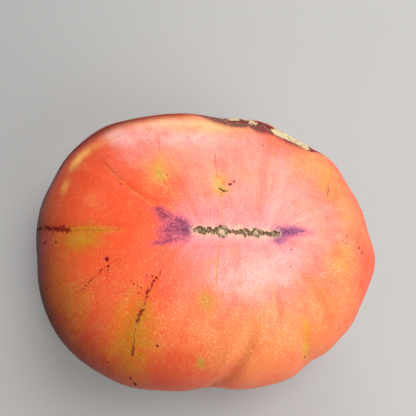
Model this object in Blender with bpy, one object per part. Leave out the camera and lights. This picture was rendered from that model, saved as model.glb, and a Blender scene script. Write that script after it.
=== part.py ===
"""A large ribbed tomato, as picked, set down on its stem end with its long blossom scar on top.

The fruit is one solid. Every point of its skin has two angles: turn goes round the fruit, 0 at +X, and
drop goes down it, 0 at the blossom scar, a quarter turn at the widest part and a half turn at the stem scar.
"""

import math

import bmesh
import bpy
import numpy as np

# Driving dimensions, in metres
HALF_WIDTH = 0.060  # centre to widest part along X
HALF_DEPTH = 0.0516  # centre to widest part along Y
CROWN_HEIGHT = 0.0343  # widest part up to the blossom scar
BASE_HEIGHT = 0.0370  # widest part down to the stem end, before the stem hollow
SEAT_DEPTH = 0.0008  # how far the resting shoulders are pressed flat

# How square the shoulders are: 2 is a plain ellipse and more is fuller
CROWN_FULLNESS = 2.3
BASE_FULLNESS = 2.4

# Waves of the outline round the fruit, as shares of its radius: {waves: (cosine, sine)}
OUTLINE_WAVES = {1: (-0.014, 0.081), 2: (0.0, -0.020), 3: (0.011, -0.004), 4: (-0.026, 0.0)}

# Blossom scar: a line of cork on top
SCAR_CENTRE = (0.0090, -0.0020)
SCAR_HALF_LENGTH = 0.012
SCAR_SLOPE = math.radians(-3)
SCAR_DIP = 0.0011
SCAR_DIP_REACH = 0.0065
SCAR_CORK_HEIGHT = 0.0007
SCAR_CORK_REACH = 0.0011
SCAR_KNOBS = 9
SCAR_KNOB_SHARE = 0.35  # how much of the cork's height comes and goes with the knobs

# Stem scar: an oval of cork in a hollow underneath
STEM_CENTRE = (0.0030, 0.0020)
STEM_HALF_LENGTH = 0.004
STEM_HOLLOW_DEPTH = 0.0145  # before the ribs, which close round it
STEM_HOLLOW_REACH = 0.33  # share of the fruit's radius
STEM_CORK_REACH = 0.0050
STEM_CORK_HEIGHT = 0.0012
STEM_PIT_DEPTH = 0.0019
STEM_PIT_REACH = 0.0022

# How strongly the ribs gather at the two ends of a scar: less is stronger
GATHERING = 0.5

# Ribs: (turn in degrees, depth at the widest part, half width in degrees). A negative depth is a lobe.
RIBS = [
    (185, 0.0006, 7),
    (152, 0.0014, 8),
    (125, -0.0016, 8),
    (84, 0.0024, 8),
    (68, -0.0010, 5),
    (51, 0.0030, 8),
    (27, 0.0018, 8),
    (355, -0.0026, 8),
    (335, 0.0013, 7),
    (321, 0.0020, 8),
    (309, 0.0022, 6),
    (273, 0.0015, 7),
    (245, -0.0007, 8),
]
# Ribs that only show on the shoulders underneath: (turn in degrees, greatest depth, half width in degrees)
SHOULDER_RIBS = [
    (105, 0.0024, 8),
    (137, 0.0026, 7),
    (168, 0.0024, 7),
    (205, 0.0032, 8),
    (230, 0.0028, 8),
    (256, 0.0022, 7),
    (291, 0.0020, 7),
    (8, 0.0030, 8),
]
# Where the ribs are deepest, and where they have gone, as shares of the way down to the widest part
SHOULDER = 1.40
STEM_RIM = 1.86
SHOULDER_DEEPENING = 1.5

# Healed splits in the back right shoulder: (turn in degrees, half length in degrees, share of the full depth)
SPLITS = [
    (57, 12, 1.0),
    (76, 8, 0.5),
]
SPLIT_DROP = math.radians(57.5)
SPLIT_DEPTH = 0.0030
SPLIT_REACH_ABOVE = math.radians(5.5)
SPLIT_REACH_BELOW = math.radians(3.0)
SPLIT_LIP = 0.0003
SPLIT_LIP_BELOW = math.radians(6.0)
SPLIT_LIP_REACH = math.radians(3.5)
SPLIT_ENDS = 1.6  # 1 thins a split evenly to its ends, and more keeps it wide for longer

# Mesh
COLUMNS = 96
RINGS = 58
SCAR_CLOSENESS = 6.0
SCAR_ZONE = 0.09
STEM_CLOSENESS = 1.2
STEM_ZONE = 0.35
SPLIT_CLOSENESS = 2.0
SPLIT_ZONE = 0.16
FLAT_SPOT_ANGLE = math.radians(0.1)

SKIN_COLOUR = (0.83, 0.18, 0.07, 1.0)
SKIN_ROUGHNESS = 0.38


def smooth_step(share):
    """0 below 0 and 1 above 1, with an easy curve between."""
    share = np.clip(share, 0.0, 1.0)
    return share * share * (3.0 - 2.0 * share)


def angle_between(turn, other):
    """The signed angle from other to turn, the short way round."""
    return (turn - other + math.pi) % (2.0 * math.pi) - math.pi


def outline(turn):
    """The widest part of the fruit, seen from above."""
    swell = np.ones_like(turn)
    for waves, (cosine, sine) in OUTLINE_WAVES.items():
        swell += cosine * np.cos(waves * turn) + sine * np.sin(waves * turn)
    return HALF_WIDTH * swell * np.cos(turn), HALF_DEPTH * swell * np.sin(turn)


def along_scar(turn):
    """Where a rib meets a scar, from -1 to 1 along it. Most ribs meet it near one of its two ends."""
    c = np.cos(turn)
    return c * np.sqrt((1.0 + GATHERING**2) / (c * c + GATHERING**2))


def body(turn, drop):
    """The smooth body of the fruit, with neither ribs nor marks."""
    crown = drop < math.pi / 2.0
    fullness = np.where(crown, CROWN_FULLNESS, BASE_FULLNESS)
    radius = (np.abs(np.sin(drop)) ** fullness + np.abs(np.cos(drop)) ** fullness) ** (-1.0 / fullness)
    reach = radius * np.sin(drop)
    rise = radius * np.cos(drop)
    lower = smooth_step((1.0 - np.cos(drop)) / 2.0)
    place = along_scar(turn)
    scar_x = SCAR_CENTRE[0] + SCAR_HALF_LENGTH * place * math.cos(SCAR_SLOPE)
    scar_y = SCAR_CENTRE[1] + SCAR_HALF_LENGTH * place * math.sin(SCAR_SLOPE)
    pole_x = scar_x + (STEM_CENTRE[0] + STEM_HALF_LENGTH * place - scar_x) * lower
    pole_y = scar_y + (STEM_CENTRE[1] - scar_y) * lower
    rim_x, rim_y = outline(turn)
    hollow = STEM_HOLLOW_DEPTH * np.exp(-((reach / STEM_HOLLOW_REACH) ** 2))
    z = np.where(crown, CROWN_HEIGHT * rise, BASE_HEIGHT * rise + hollow)
    return np.stack([pole_x + (rim_x - pole_x) * reach, pole_y + (rim_y - pole_y) * reach, z], axis=-1)


def outward(turn, drop, step=1e-4):
    """The direction that the smooth body faces."""
    round_fruit = body(turn + step, drop) - body(turn - step, drop)
    down_fruit = body(turn, drop + step) - body(turn, drop - step)
    normal = np.cross(down_fruit, round_fruit)
    return normal / np.maximum(np.linalg.norm(normal, axis=-1, keepdims=True), 1e-12)


def across_rib(turn, degrees, half_width):
    """1 along the middle of a rib, falling to 0 on both sides."""
    aside = angle_between(turn, math.radians(degrees)) / math.radians(half_width)
    return np.exp(-(aside**2))


def rib_relief(turn, drop):
    """Creases that deepen from the blossom scar down to the shoulders, and lobes that swell between them."""
    share = drop / (math.pi / 2.0)
    crown = np.minimum(share, 1.0) ** 2
    low = smooth_step((share - 1.0) / (SHOULDER - 1.0))
    closing = 1.0 - smooth_step((share - SHOULDER) / (STEM_RIM - SHOULDER))
    crease = crown * closing * (1.0 + (SHOULDER_DEEPENING - 1.0) * low)
    lobe = crown * (1.0 - low)
    relief = np.zeros_like(drop)
    for degrees, depth, half_width in RIBS:
        strength = crease if depth > 0.0 else lobe
        relief -= depth * across_rib(turn, degrees, half_width) * strength
    for degrees, depth, half_width in SHOULDER_RIBS:
        relief -= depth * across_rib(turn, degrees, half_width) * low * closing
    return relief


def line_distance(points, centre, half_length, slope):
    """How far points are from a line seen from above, and how far along it they are from its middle."""
    x = points[..., 0] - centre[0]
    y = points[..., 1] - centre[1]
    along = x * math.cos(slope) + y * math.sin(slope)
    aside = y * math.cos(slope) - x * math.sin(slope)
    past_end = np.maximum(np.abs(along) - half_length, 0.0)
    return np.hypot(past_end, aside), along


def scar_relief(points):
    """The dip that the blossom scar lies in, and its knobs of cork."""
    distance, along = line_distance(points, SCAR_CENTRE, SCAR_HALF_LENGTH, SCAR_SLOPE)
    wave = np.cos(math.pi * SCAR_KNOBS * along / SCAR_HALF_LENGTH)
    knobs = 1.0 - SCAR_KNOB_SHARE * (1.0 - wave)
    dip = -SCAR_DIP * np.exp(-((distance / SCAR_DIP_REACH) ** 2))
    return dip + SCAR_CORK_HEIGHT * knobs * np.exp(-((distance / SCAR_CORK_REACH) ** 4))


def stem_relief(points):
    """The disc of cork where the stem broke away, with the pit of the stem in its middle."""
    distance, _ = line_distance(points, STEM_CENTRE, STEM_HALF_LENGTH, 0.0)
    disc = np.exp(-((distance / STEM_CORK_REACH) ** 6))
    pit = np.exp(-((distance / STEM_PIT_REACH) ** 2))
    return STEM_CORK_HEIGHT * disc - STEM_PIT_DEPTH * pit


def split_relief(turn, drop):
    """The healed splits: the skin above rolls down into a groove, and cork climbs from it to a raised lip."""
    aside = drop - SPLIT_DROP
    reach = np.where(aside < 0.0, SPLIT_REACH_ABOVE, SPLIT_REACH_BELOW)
    groove = SPLIT_DEPTH * np.exp(-((aside / reach) ** 2))
    lip = SPLIT_LIP * np.exp(-(((aside - SPLIT_LIP_BELOW) / SPLIT_LIP_REACH) ** 2))
    relief = np.zeros_like(drop)
    for degrees, half_length, share in SPLITS:
        along = angle_between(turn, math.radians(degrees)) / math.radians(half_length)
        relief += share * smooth_step(SPLIT_ENDS * (1.0 - along**2)) * (lip - groove)
    return relief


def skin(turn, drop):
    """Points of the finished skin, with the shoulders pressed flat where the fruit rests."""
    smooth = body(turn, drop)
    relief = rib_relief(turn, drop) + split_relief(turn, drop)
    relief += np.where(drop < math.pi / 2.0, scar_relief(smooth), stem_relief(smooth))
    points = smooth + outward(turn, drop) * relief[..., None]
    seat = points[..., 2].min() + SEAT_DEPTH
    points[..., 2] = np.maximum(points[..., 2] - seat, 0.0)
    return points


def ring_drops():
    """The drop of each ring of the mesh, closer together at the two scars and the split."""
    fine = np.linspace(0.0, math.pi, 2001)
    closeness = 1.0 + SCAR_CLOSENESS * np.exp(-fine / SCAR_ZONE)
    closeness += STEM_CLOSENESS * np.exp(-(math.pi - fine) / STEM_ZONE)
    closeness += SPLIT_CLOSENESS * np.exp(-(((fine - SPLIT_DROP) / SPLIT_ZONE) ** 2))
    passed = np.concatenate([[0.0], np.cumsum((closeness[1:] + closeness[:-1]) / 2.0)])
    return np.interp(np.linspace(0.0, passed[-1], RINGS + 1), passed, fine)


def centre_on_origin(points):
    """Moves the middle of the fruit's outline to the Z axis. It already rests at height 0."""
    middle = (points.min(axis=0) + points.max(axis=0)) / 2.0
    points[:, :2] -= middle[:2]
    return points


def skin_material():
    material = bpy.data.materials.new("tomato_skin")
    material.use_nodes = True
    shader = material.node_tree.nodes["Principled BSDF"]
    shader.inputs["Base Color"].default_value = SKIN_COLOUR
    shader.inputs["Roughness"].default_value = SKIN_ROUGHNESS
    shader.inputs["Metallic"].default_value = 0.0
    return material


def make_tomato(collection):
    """A sphere whose rings and columns are carried onto the skin."""
    bm = bmesh.new()
    bmesh.ops.create_uvsphere(bm, u_segments=COLUMNS, v_segments=RINGS, radius=1.0)
    ball = np.array([v.co for v in bm.verts])
    turn = np.arctan2(ball[:, 1], ball[:, 0])
    ring = np.rint(np.arccos(np.clip(ball[:, 2], -1.0, 1.0)) / math.pi * RINGS).astype(int)
    points = centre_on_origin(skin(turn, ring_drops()[ring]))
    for vert, point in zip(bm.verts, points):
        vert.co = point

    # The two end points give way to strips straight across the scars
    bm.verts.ensure_lookup_table()
    ends = [bm.verts[i] for i in np.flatnonzero((ring == 0) | (ring == RINGS))]
    bmesh.ops.dissolve_verts(bm, verts=ends)

    # Each flat spot underneath becomes one face, which triangulates into a few large triangles
    flat = [edge for edge in bm.edges if edge.verts[0].co.z == 0.0 and edge.verts[1].co.z == 0.0]
    bmesh.ops.dissolve_limit(bm, angle_limit=FLAT_SPOT_ANGLE, verts=[], edges=flat)
    bmesh.ops.triangulate(bm, faces=bm.faces, quad_method="SHORT_EDGE", ngon_method="BEAUTY")

    mesh = bpy.data.meshes.new("tomato")
    bm.to_mesh(mesh)
    bm.free()
    mesh.materials.append(skin_material())
    mesh.shade_smooth()
    tomato = bpy.data.objects.new("tomato", mesh)
    collection.objects.link(tomato)
    return tomato


def main():
    for old in list(bpy.data.objects):
        bpy.data.objects.remove(old)
    collection = bpy.data.collections.new("ribbed_tomato")
    bpy.context.scene.collection.children.link(collection)
    make_tomato(collection)


main()
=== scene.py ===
"""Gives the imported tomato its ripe, marked skin, its scars of cork and the stage that it is shown on."""

import math

import bmesh
import bpy
import numpy as np
from bpy.props import FloatProperty, FloatVectorProperty, PointerProperty
from bpy.types import Operator, Panel, PropertyGroup
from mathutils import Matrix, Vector, noise
from mathutils.bvhtree import BVHTree


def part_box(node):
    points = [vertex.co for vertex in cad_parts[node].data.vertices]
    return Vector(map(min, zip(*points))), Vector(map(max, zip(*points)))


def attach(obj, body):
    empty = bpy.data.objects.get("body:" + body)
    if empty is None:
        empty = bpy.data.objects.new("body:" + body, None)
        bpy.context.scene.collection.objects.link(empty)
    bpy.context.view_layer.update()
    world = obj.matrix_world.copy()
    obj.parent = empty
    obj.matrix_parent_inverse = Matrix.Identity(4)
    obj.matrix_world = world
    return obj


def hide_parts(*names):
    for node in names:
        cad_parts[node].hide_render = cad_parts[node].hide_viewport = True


bl_info = {
    "name": "Ribbed tomato",
    "version": (1, 0, 0),
    "blender": (4, 5, 0),
    "location": "3D View > Sidebar > Tomato",
    "description": "Builds a ribbed tomato's skin, its scars of cork and a plain stage",
    "category": "Object",
}

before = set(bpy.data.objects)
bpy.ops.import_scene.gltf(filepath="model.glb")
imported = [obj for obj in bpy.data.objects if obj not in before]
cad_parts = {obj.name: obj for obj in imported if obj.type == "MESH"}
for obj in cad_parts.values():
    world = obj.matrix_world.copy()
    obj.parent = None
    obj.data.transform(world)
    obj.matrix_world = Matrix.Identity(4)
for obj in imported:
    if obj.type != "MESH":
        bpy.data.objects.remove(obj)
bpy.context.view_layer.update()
CAD_LOW, CAD_HIGH = (np.array(corner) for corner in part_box("tomato"))

MM = 0.001
QUARTER = math.pi / 2.0

# How square the shoulders are: 2 is a plain ellipse and more is fuller
CROWN_FULLNESS = 2.3
BASE_FULLNESS = 2.4

# Waves of the outline round the fruit, as shares of its radius: {waves: (cosine, sine)}
OUTLINE_WAVES = {1: (-0.014, 0.081), 2: (0.0, -0.020), 3: (0.011, -0.004), 4: (-0.026, 0.0)}

# The blossom scar on top and the stem scar underneath, before the fruit is centred
SCAR_CENTRE = (0.0090, -0.0020)
SCAR_SLOPE = math.radians(-3)
SCAR_DIP_REACH = 0.0065
STEM_CENTRE = (0.0030, 0.0020)
STEM_HALF_LENGTH = 0.004
STEM_HOLLOW_REACH = 0.33

# Once the fruit is centred: the middle of the chain of cork, of the halo round it and of the stem scar
CHAIN_CENTRE = (0.0100, -0.0068)
HALO_CENTRE = (0.0095, -0.0068)
STEM_CORK_CENTRE = (0.0023, -0.0026)

# How evenly the ribs meet a scar along its length: near 0 they all gather at its two ends
GATHERING = 0.5

# Ribs: (turn in degrees, depth at the widest part, half width in degrees). A negative depth is a lobe.
RIBS = [
    (185, 0.0006, 7), (152, 0.0014, 8), (125, -0.0016, 8), (84, 0.0024, 8), (68, -0.001, 5), (51, 0.003, 8),
    (27, 0.0018, 8), (355, -0.0026, 8), (335, 0.0013, 7), (321, 0.002, 8), (309, 0.0022, 6),
    (273, 0.0015, 7), (245, -0.0007, 8),
]
SHOULDER_RIBS = [
    (105, 0.0024, 8), (137, 0.0026, 7), (168, 0.0024, 7), (205, 0.0032, 8), (230, 0.0028, 8),
    (256, 0.0022, 7), (291, 0.002, 7), (8, 0.003, 8),
]
# Where the ribs are deepest and where they close at the stem, in quarter turns, and how much they deepen
SHOULDER = 1.40
STEM_RIM = 1.86
SHOULDER_DEEPENING = 1.5

# Soft folds that slant over the crown: (turn, drop) at each end and half width in degrees, and depth
FOLDS = [
    (286, 34, 271.5, 94, 2.7, 0.0018), (329, 16, 330, 62, 6.5, 0.0011), (303, 34, 306, 84, 4, 0.0011),
    (296, 20, 296, 44, 3, 0.0003), (181, 14, 175, 70, 4, 0.0005), (144, 10, 140, 52, 4, 0.0004),
    (232, 16, 242, 66, 4, 0.0004), (206, 20, 208, 60, 5, 0.0004), (92, 6, 88, 50, 4, 0.0004),
    (64, 14, 62, 50, 4, 0.0004),
]
# How bluntly a fold ends: less is blunter
FOLD_ENDS = 0.8

# Healed splits: (turn in degrees, half length in degrees, share of the full depth)
SPLITS = [
    (57, 12, 1), (76, 8, 0.5),
]
SPLIT_DROP = math.radians(57.5)
SPLIT_REACH_ABOVE = math.radians(5.5)
SPLIT_REACH_BELOW = math.radians(3.0)
SPLIT_LIP = 0.0003
SPLIT_LIP_BELOW = math.radians(6.0)
SPLIT_LIP_REACH = math.radians(3.5)
SPLIT_ENDS = 1.6
# A shallow dent round the larger split: (turn, drop) and reach both ways in degrees, and depth
DENT = (61.5, 57.0, 6.5, 12.0, 0.0013)
# Dark lenses round the splits, partly darker healed skin and partly painted shade in the grooves: (turn, half
# length, reach above, reach below) in degrees
SPLIT_MARGIN_SHADES = [
    (57, 15, 19.8, 8.5), (69, 10, 20.3, 7), (80, 15, 17.3, 7.5),
]
# The bed of brown cork in each split, written as the margins are, and how blunt their ends are
SPLIT_BEDS = [
    (57.5, 10.5, 8.5, 6.5), (76.5, 9, 5.5, 1),
]
LENS_ENDS = 0.7
# Strips of pale cork in the splits: (turn, drop) at each end and greatest width in degrees
SPLIT_STRIPS = [
    (65.5, 60.9, 48, 61.1, 4.8), (82, 61.8, 77, 61.6, 1.7), (76.9, 61.1, 70.3, 60.3, 1.6),
]

# Where the dark shoulders begin, and over how far they darken: (turn, drop, reach) in degrees. Partly the
# shoulders' own darker colour, partly painted shade along the fruit's outline as the camera sees it
SHOULDER_SHADE_EDGE = [
    (0, 74, 30), (35, 58, 24), (60, 66, 18), (75, 66, 14), (85, 54, 11), (100, 48, 10), (130, 49, 10),
    (145, 54, 12), (160, 57, 14), (184, 58, 18), (204, 62, 24), (217, 64, 28), (232, 70, 30), (270, 82, 34),
    (300, 82, 34), (335, 76, 32),
]
# The share of the darkness that comes at the edge, and how far down the rest comes
SHOULDER_SHADE_EDGE_SHARE = 0.55
SHOULDER_SHADE_FADE = math.radians(60)

# Mesh of the skin, finer on the crown
COLUMNS = 500
RINGS = 198
CROWN_CLOSENESS = 1.1
CROWN_ZONE = 1.3
SCAR_CLOSENESS = 1.5
SCAR_ZONE = 0.09
SPLIT_CLOSENESS = 1.2
SPLIT_ZONE = 0.12
POLE_MARGIN = 0.01

# Dark cracks along the ribs: (turn, drop) at each end in degrees, width in mm and darkness
CRACKS = [
    (178.2, 39.5, 174.6, 58, 1.15, 1), (174.8, 56, 173, 70, 0.6, 0.98), (146, 10, 138, 37, 0.22, 0.45),
    (181.3, 20, 178.4, 40, 0.34, 0.45), (92, 18, 90.5, 28, 0.26, 0.55), (94, 3, 92, 14, 0.14, 0.35),
    (264, 4, 268, 22, 0.16, 0.4), (92, 9.5, 92, 13, 0.28, 0.5), (122.5, 14, 120.5, 22, 0.2, 0.45),
    (114, 30, 112, 34, 0.28, 0.6), (24.5, 31, 30, 36.5, 0.3, 0.85), (30, 36.5, 33.5, 43.5, 0.18, 0.5),
    (33.5, 43, 39, 53, 0.24, 0.8), (234, 17.5, 235.3, 20.8, 0.24, 0.65), (235, 20.5, 236, 27, 0.42, 0.8),
    (236, 26.5, 239, 31.5, 0.24, 0.7), (239, 32, 240, 38.5, 0.5, 0.96), (240, 38, 243, 47, 0.18, 0.6),
    (243, 47, 244.5, 53, 0.45, 0.95), (205.5, 24, 205.8, 28.5, 0.16, 0.5), (206.5, 30, 211, 42, 0.26, 0.75),
    (305.8, 61, 305, 68, 0.5, 0.85), (275, 76, 274, 88, 0.45, 0.5), (64, 38, 63, 47, 0.22, 0.5),
    (116, 34, 115, 40, 0.22, 0.5),
]
# Yellow threads that run with the ribs, written as the cracks are
THREADS = [
    (181, 20, 177, 44, 0.55, 0.32), (123, 11, 117, 27, 0.3, 0.35), (94, 3, 91, 18, 0.3, 0.4),
    (64, 15, 64, 42, 0.3, 0.18), (308.5, 38, 305, 66, 0.7, 1), (296, 20, 295, 44, 0.3, 0.35),
    (264, 4, 268, 24, 0.32, 0.4), (146, 12, 139, 37, 0.32, 0.2), (30, 30, 36, 46, 0.6, 0.4),
]
# Widths from a line at which it is given up, and how its darkness builds up from its ends
CRACK_CLIP = 4.0
THREAD_CLIP = 3.6
LINE_START = 0.4
LINE_TAPER = 6.0

# How quickly a patch thins out from its middle
PATCH_FALL = 0.9
# Patches on the crown, in layers: (x, y, radius in x, radius in y) in mm, and strength
PATCHES = {
    "olive": [
        (-36.8, -8.2, 5, 3.8, 1), (-36.4, -7.4, 5.4, 3.4, 1), (-42, -5.5, 6, 3, 0.6),
        (-32, -5.6, 6, 1.5, 0.6), (1.2, -26.5, 3.4, 4.4, 0.9), (-19.5, -34, 7, 9.5, 1),
        (-18.5, -31, 4.5, 7, 0.8), (-21, -42, 6, 6, 0.9), (-1, -42.8, 1.5, 1.3, 0.9), (-46, -19, 5, 9, 0.7),
        (-38, -27, 6, 7, 0.6), (-52, 4, 3, 8, 0.5), (-30, -40, 5, 4, 0.25),
    ],
    "green": [
        (-14.4, 15, 1.5, 4, 1), (-12.8, 11.6, 1.4, 2.6, 0.7), (-14.2, 14, 4, 6, 0.36),
        (4.8, 8.8, 1.4, 3.6, 1), (5.8, 6.6, 2, 1.2, 0.9), (4.6, 9, 3.2, 4.6, 0.36),
        (-36.8, -7.6, 3.4, 2, 0.35), (4.7, 8, 2, 3, 0.6), (30.5, -34.5, 2.5, 6, 0.55),
        (-18.5, -33, 3, 7, 0.45), (1, -26, 2.2, 3.2, 0.6), (-1, -42.8, 2, 1.6, 1),
    ],
    "freckled": [
        (-18, -23, 4.5, 4.5, 1), (-29, -17, 5, 4, 0.8), (-50, -6, 4, 6, 1), (-13, -3, 7, 7, 0.6),
        (28, -8, 8, 4, 0.6), (46, -9, 7, 6, 0.5), (8, 9, 4, 3, 0.6), (-25, -44, 7, 5, 0.8),
    ],
    "gold": [
        (-45.9, 11.5, 1.6, 2.8, 0.9), (-44.2, 19.3, 1.9, 2.3, 0.9), (-43, 22.2, 1.9, 2.2, 1),
        (-41.8, 24.5, 1.9, 2, 1), (-40.5, 26.3, 2, 1.8, 0.9), (-38, 28.3, 2.4, 1.3, 0.6),
        (-17, 37, 14, 5, 0.7), (4, 35.5, 20, 7.5, 1), (34, 20, 8, 12, 0.8), (41, 14, 3.5, 9, 0.7),
        (41, -13.6, 4.5, 4, 1), (39.5, -17.5, 4, 5, 0.9), (33.5, -27, 8, 9, 0.9), (30.5, -36, 5, 7, 0.7),
        (46, 2, 7, 16, 0.6), (44, -24, 6, 7, 0.7), (12, -38, 22, 12, 0.85), (20, -38, 8, 8, 0.8),
        (-8, -32, 13, 11, 0.45), (-14, 14, 7, 9, 0.75), (4.8, 9, 4.2, 6, 0.6), (0, 16, 9, 9, 0.35),
        (-34, -24, 10, 10, 0.3),
    ],
    # Painted highlights: on the golden streak at the upper left, along the back and one on the right
    "glow": [
        (-16, 35.5, 8, 2.2, 0.42), (-4, 36, 9, 2.4, 0.5), (5, 33.5, 7, 2.6, 0.45), (38.5, 15, 3, 6, 0.22),
        (-44.4, 21, 1.5, 2.4, 0.7), (-42.6, 22.8, 1.4, 2, 1), (-40.4, 24.6, 1.8, 1.7, 0.9),
        (-37.6, 26.4, 2.4, 1.3, 0.5), (-45.6, 12.6, 1.6, 2.8, 0.6), (-33, 28.6, 4.5, 2.2, 0.3),
    ],
    # Salmon skin, partly painted sheen: the soft pink-white reflection on the right of the crown and along
    # the back is painted into these patches
    "blush": [
        (19, 4, 19, 20, 1), (14.5, -17, 17, 13, 1), (-4, 28, 18, 12, 0.8), (-26, 29.5, 6, 5, 0.6),
        (-24, 33, 9, 6, 1), (-22, 22, 9, 9, 0.5), (40, -10, 10, 16, 0.6), (0, 6, 7, 12, 0.45),
        (8, -34, 20, 9, 0.3),
    ],
    # Painted highlights and sheen: along the back, at the upper left, and the broad highlight in front of and
    # right of the scar
    "pale": [
        (-17.5, 35, 6, 2.8, 0.85), (-8, 36.5, 8, 2.6, 0.75), (2.5, 34.5, 7, 3.2, 0.4),
        (-10.5, 27.5, 4, 4, 0.45), (-25.5, 28.6, 5.5, 4, 0.9), (-31, 30.8, 4.5, 3, 0.8),
        (13, -20, 12, 6.5, 0.6), (7.5, -23, 5.5, 4, 0.45), (24, -14, 9, 8, 0.35), (-17, 29, 5, 5, 0.7),
        (-3, 28, 7, 4.5, 0.6), (12, 26, 8, 4, 0.4), (-28, 31, 5, 4, 0.7), (22, 2, 7, 5, 0.25),
    ],
    "scarlet": [
        (-30.5, -31, 4, 9, 0.8), (-26, -24, 4, 6, 0.5), (-9, -36, 4, 7, 0.45), (-2, -20.5, 5, 6, 0.35),
        (38, -24, 7, 8, 0.5), (27, -42, 7, 5, 0.6), (34.5, -17, 3, 1.4, 0.55), (37.8, -20.6, 2.4, 2, 0.45),
        (51, -8, 5, 9, 0.6), (48, 8, 4, 5, 0.4), (31, 12, 5, 6, 0.3), (20, 29, 8, 3, 0.3),
        (-15, -13, 8, 5, 0.8), (-13, -20, 6, 5, 0.5), (-23, -22, 6, 6, 0.6), (-32, 6, 12, 8, 0.8),
        (-9, -27, 4, 7, 0.35), (-8, -44, 9, 4, 0.5), (8, -46, 8, 4, 0.4), (16, -40, 3, 7, 0.35),
    ],
    "purple": [
        (-5, -6, 2.6, 2.3, 1), (-8.5, -5.5, 4, 3, 0.8), (-7.5, -3.5, 2.2, 1.5, 0.8),
        (-11.6, -1.7, 3.2, 1.5, 0.85), (-13.5, 0.4, 2.2, 1.1, 0.8), (-9.7, -9.3, 3.2, 1.3, 0.7),
        (-13, -10.3, 2.8, 1, 0.7), (-11.5, -6.5, 3, 2, 0.55), (-5.4, -9, 1.5, 1.2, 0.5),
        (21.6, -7.4, 2.4, 2.5, 1), (24, -6.9, 2.8, 1.9, 1), (27, -6.5, 2.6, 1.2, 0.95),
        (30, -6.8, 4, 1.5, 0.45), (22.3, -9.6, 2, 1.1, 0.7), (-50, -5, 3, 4, 0.32), (-53, -8, 2, 5, 0.25),
    ],
}
# Small dark spots: (x, y, radius) in mm
SPOTS = [
    (-28.4, -14.4, 0.75), (8, 8.7, 0.62), (9.3, 9.7, 0.5), (5, 7.2, 0.42), (5.8, 6.5, 0.48),
    (6.5, 6.3, 0.45), (7.2, 6.2, 0.38), (-25.8, 9.8, 0.4), (-22.3, 13.3, 0.28), (-11.5, 12, 0.32),
    (-6.7, 11.3, 0.3), (-2.2, 11.2, 0.28), (-13.2, -38.4, 0.42), (-10.6, -16.5, 0.26), (-11.3, -17.8, 0.22),
    (-12.4, -19.3, 0.3), (-13.5, -20.2, 0.34), (-14.2, -21.1, 0.45), (-14.7, -22.2, 0.38),
    (-14.7, -19.9, 0.36), (-16.4, -19.6, 0.28), (-18.1, -19.5, 0.26), (-20, -22, 0.34), (-17.8, -23, 0.28),
    (-15.8, -23.7, 0.4), (-18.6, -24.4, 0.28), (-20.7, -21.1, 0.28), (-16.2, -24.5, 0.42),
    (-16.1, -25.6, 0.34), (-27.9, -16.5, 0.42), (-27.8, -17.5, 0.36), (-30.2, -17.5, 0.38),
    (-22.2, -46.5, 0.5), (-21.3, -48.2, 0.55), (-28.5, -42.2, 0.32), (43.4, -6.6, 0.34), (41.8, -8.4, 0.3),
    (42.9, -8.9, 0.3), (47.7, -9.4, 0.4), (48.9, -10.4, 0.36), (25.4, -12.2, 0.3), (24.9, -17.2, 0.26),
    (19.5, 24.5, 0.4), (-51.3, -5.8, 0.55), (-46.4, -6.8, 0.42), (33, -26, 0.3),
]

# Rings of cork along the blossom scar: (place along it, place beside it, radius) in mm, and paleness
SCAR_RINGS = [
    (-12.4, 0, 0.6, 0.9), (-11, 0.3, 1.15, 0.2), (-9.7, -0.3, 0.95, 0.1), (-8.4, 0.3, 1, 0.2),
    (-7.2, -0.2, 0.85, 0.1), (-6.2, 0.5, 0.75, 0.3), (-4.4, -0.1, 1.85, 1), (-4.9, 1.3, 0.75, 0.5),
    (-2.5, 0, 0.7, 0.1), (-1.4, 0.2, 0.6, 0.1), (-0.3, -0.1, 0.7, 0.2), (1.1, 0.1, 0.85, 0.1),
    (2.6, 0, 1.25, 0.3), (3.9, -0.3, 0.8, 0.1), (5.6, 0.1, 1.5, 0.8), (7.2, 0, 0.9, 0.4),
    (8.5, 0.1, 0.65, 0.1), (9.6, -0.1, 0.7, 0.1), (10.9, 0.1, 0.95, 0.4), (12, 0.1, 0.55, 0.9),
]

# Where the patches of the crown fade out, and where its cracks and spots end
CROWN_EDGE = math.radians(88)
CROWN_FADE = math.radians(14)
CRACK_END = QUARTER * 1.1
SPOT_END = QUARTER * 1.05
SPOT_CLIP = 3.0
# About how many mm of skin there are for each radian of drop
SKIN_PER_DROP = 45.0

# The belt of painted shade along the edge of the shoulders, in shares of its reach, and the side where its
# rim of painted shade is darkest
SHADE_BELT_MIDDLE = 0.9
SHADE_BELT_WIDTH = 0.8
RIM_SHADE_TURN = math.radians(160)
# Painted shade low on the left: where it starts, its reach, and where it gives way to the shoulders
LEFT_SHADE_TURN = math.radians(203)
LEFT_SHADE_NARROWING = 1.4
LEFT_SHADE_DROP = math.radians(32)
LEFT_SHADE_REACH = math.radians(40)
LEFT_SHADE_END = math.radians(80)
LEFT_SHADE_FADE = math.radians(25)
LEFT_SHADE_LOSS = 0.6
# How olive the ribs and how golden the skin are below the crown, and the depth of a rib that counts in full
OLIVE_BELOW = 0.55
GOLD_BELOW = 0.45
FULL_RIB = 0.003
# Distances in mm that stand for far from a scar
FAR_FROM_SCAR = 30.0
FAR_FROM_STEM = 60.0

# Fade of the margins, with their painted shade, and of the beds of the splits, above and below, in degrees
MARGIN_SHADE_FADES = (10.0, 3.0)
BED_FADES = (0.8, 0.8)

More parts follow.
